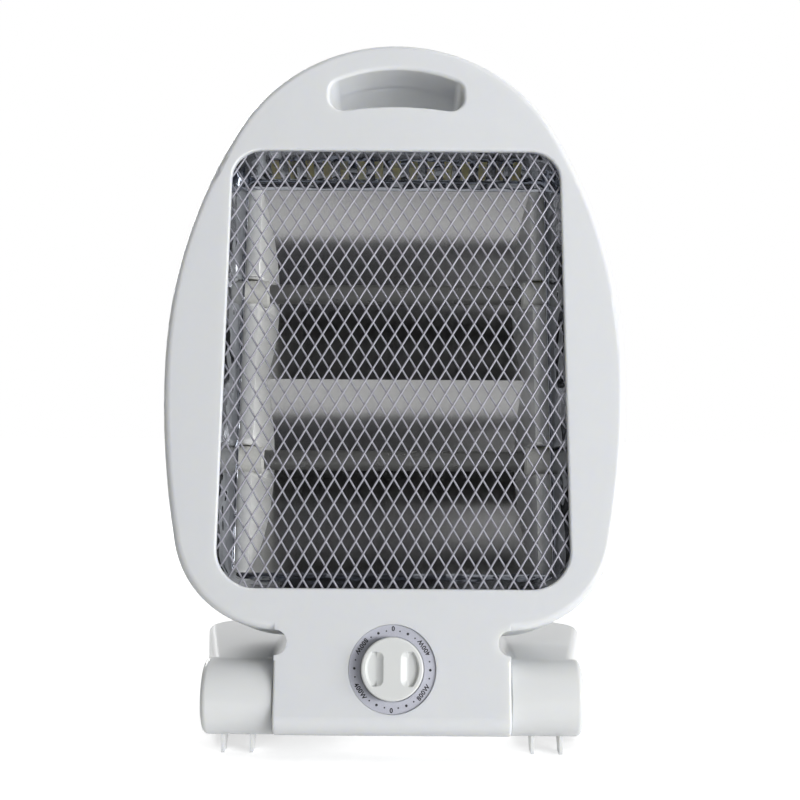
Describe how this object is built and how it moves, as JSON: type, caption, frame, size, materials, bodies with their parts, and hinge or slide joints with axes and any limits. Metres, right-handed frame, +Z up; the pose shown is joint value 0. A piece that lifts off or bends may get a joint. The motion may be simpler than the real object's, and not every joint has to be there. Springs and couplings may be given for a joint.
{
  "type": "quartz heater",
  "caption": "Free-standing quartz heater with an egg-shaped white body leaning back on folding feet, a domed mesh guard, tubes over a polished reflector, a carrying slot and a dial.",
  "frame": {"origin": "on the floor under the middle of the whole heater", "axes": "+Z up, the front faces -Y, +X to the right seen from the front"},
  "size_m": [0.2426, 0.1547, 0.3796],
  "materials": {
    "white_plastic": "glossy moulded",
    "knob_plastic": "satin moulded",
    "pad_rubber": "matte",
    "guard_steel": "plated wire",
    "mirror_sheet": "polished",
    "quartz": "frosted",
    "steatite": "fired",
    "dial_print": "silver satin",
    "plain_steel": "plain",
    "inner_plastic": "moulded"
  },
  "bodies": {
    "housing": {"ceramic_cap_lower_left": "steatite", "ceramic_cap_lower_right": "steatite", "ceramic_cap_upper_left": "steatite", "ceramic_cap_upper_right": "steatite", "cord_gland": "inner_plastic", "cover_screws": "plain_steel", "dial_ring": "dial_print", "front_bezel": "white_plastic", "guard_mesh": "guard_steel", "heating_coil_lower": "plain_steel", "heating_coil_upper": "plain_steel", "jumper_wire": "inner_plastic", "pivot_pin_left": "plain_steel", "pivot_pin_right": "plain_steel", "quartz_tube_lower": "quartz", "quartz_tube_upper": "quartz", "rear_cover": "white_plastic", "reflector": "mirror_sheet", "reflector_end_left": "mirror_sheet", "reflector_end_right": "mirror_sheet", "reflector_housing": "mirror_sheet", "switch_body": "inner_plastic", "switch_nut": "plain_steel", "terminal_block": "inner_plastic", "thermal_cutout": "plain_steel", "tip_over_switch": "inner_plastic", "tube_terminals": "plain_steel"},
    "knob": {"knob": "knob_plastic", "switch_shaft": "plain_steel"},
    "foot_left": {"foot_left": "white_plastic", "foot_pad_left": "pad_rubber"},
    "foot_right": {"foot_pad_right": "pad_rubber", "foot_right": "white_plastic"}
  },
  "joints": [
    {"name": "knob_turn", "type": "hinge", "parent": "housing", "child": "knob", "pos_m": [0, -0.06847, 0.04468], "axis": [0, -0.9781, 0.2079], "continuous": true},
    {"name": "foot_left_fold", "type": "hinge", "parent": "housing", "child": "foot_left", "pos_m": [0, -0.05065, 0.0275], "axis": [1, 0, 0], "range_deg": [-78, 0]},
    {"name": "foot_right_fold", "type": "hinge", "parent": "housing", "child": "foot_right", "pos_m": [0, -0.05065, 0.0275], "axis": [1, 0, 0], "range_deg": [-78, 0]}
  ]
}
